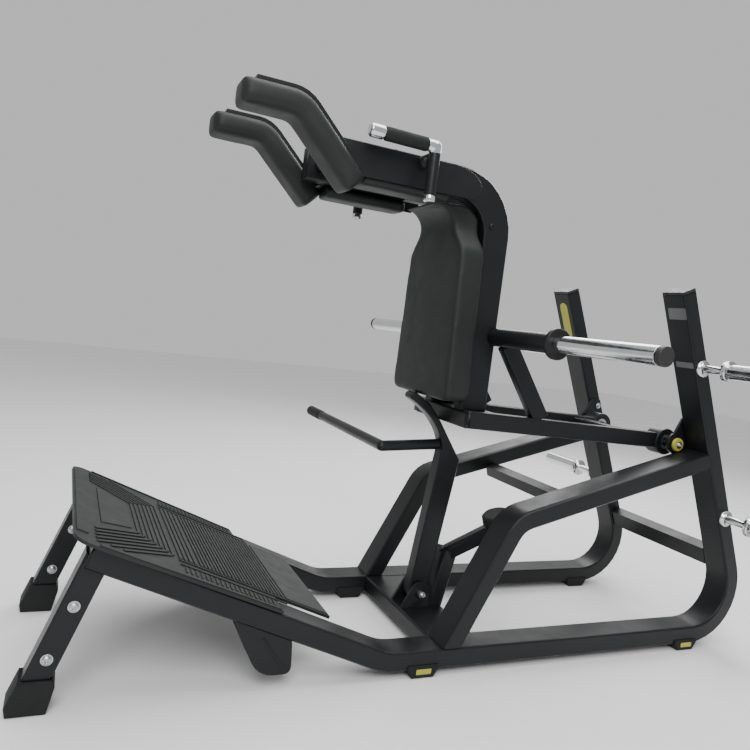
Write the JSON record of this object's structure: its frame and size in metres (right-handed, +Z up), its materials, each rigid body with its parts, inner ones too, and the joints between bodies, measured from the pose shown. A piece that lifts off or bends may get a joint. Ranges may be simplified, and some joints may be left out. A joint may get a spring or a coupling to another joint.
{
  "type": "leg press machine",
  "caption": "Plate-loaded lever leg press with sloping foot plate, back pad, stepped shoulder pads, plate horns and a lock strut with side handle.",
  "frame": {"origin": "middle of the overall length and width, on the floor", "axes": "+X from the foot plate to the rear uprights, +Y to the user's right with their back on the pad, +Z up"},
  "size_m": [2.3958, 1.704, 1.618],
  "materials": {
    "black_paint": "satin black powder coat",
    "chrome": "polished",
    "steel": "turned steel",
    "pad_cover": "moulded polyurethane foam, fine skin grain",
    "board": "black plywood",
    "foot_plate": "ribbed moulded rubber",
    "rubber": "matt",
    "black_plastic": "matt",
    "accent": "satin yellow-green"
  },
  "bodies": {
    "base": {"centre_crossbar": "black_paint", "diagonal_crossbar": "black_paint", "diagonal_leg_left": "black_paint", "diagonal_leg_right": "black_paint", "floor_foot_front_left": "rubber", "floor_foot_front_right": "rubber", "floor_foot_rear_left": "rubber", "floor_foot_rear_right": "rubber", "foot_plate": "foot_plate", "front_crossbar": "black_paint", "front_foot_left": "rubber", "front_foot_right": "rubber", "front_leg_left": "black_paint", "front_leg_right": "black_paint", "pivot_bracket_left": "black_paint", "pivot_bracket_right": "black_paint", "pivot_cap_left": "accent", "pivot_cap_right": "accent", "rear_crossbar": "black_paint", "side_frame_left": "black_paint", "side_frame_right": "black_paint", "skid_plate_left": "black_paint", "skid_plate_right": "black_paint", "stop_bumper": "rubber", "storage_horn_lower_left": "chrome", "storage_horn_lower_right": "chrome", "storage_horn_upper_left": "chrome", "storage_horn_upper_right": "chrome", "strut_pin": "steel", "upright_cap_left": "black_plastic", "upright_cap_right": "black_plastic"},
    "lever": {"back_board": "board", "back_pad": "pad_cover", "boom": "black_paint", "handle_grip_left": "rubber", "handle_grip_right": "rubber", "handle_socket_left": "black_paint", "handle_socket_right": "black_paint", "handle_tube_left": "chrome", "handle_tube_right": "chrome", "horn_brace_left": "black_paint", "horn_brace_right": "black_paint", "horn_crossbar": "black_paint", "lever_frame": "black_paint", "pivot_bearing_left": "steel", "pivot_bearing_right": "steel", "plate_sleeve_left": "chrome", "plate_sleeve_right": "chrome", "shoulder_pad_front_left": "pad_cover", "shoulder_pad_front_right": "pad_cover", "shoulder_pad_rear_left": "pad_cover", "shoulder_pad_rear_right": "pad_cover", "shoulder_yoke": "black_paint", "sleeve_cap_left": "black_plastic", "sleeve_cap_right": "black_plastic"},
    "lock_strut_body": {"lock_handle_bar": "black_paint", "lock_handle_grip": "rubber", "lock_strut": "black_paint"}
  },
  "joints": [
    {"name": "lever_swing", "type": "hinge", "parent": "base", "child": "lever", "pos_m": [0.88809, 0, 0.722], "axis": [0, -1, 0], "range_deg": [0, 22]},
    {"name": "lock_strut_swing", "type": "hinge", "parent": "base", "child": "lock_strut_body", "pos_m": [0.03709, 0, 0.125], "axis": [0, -1, 0], "range_deg": [0, 44]}
  ],
  "couplings": [
    {"joint": "lock_strut_swing", "follows": "lever_swing", "ratio": 2}
  ]
}
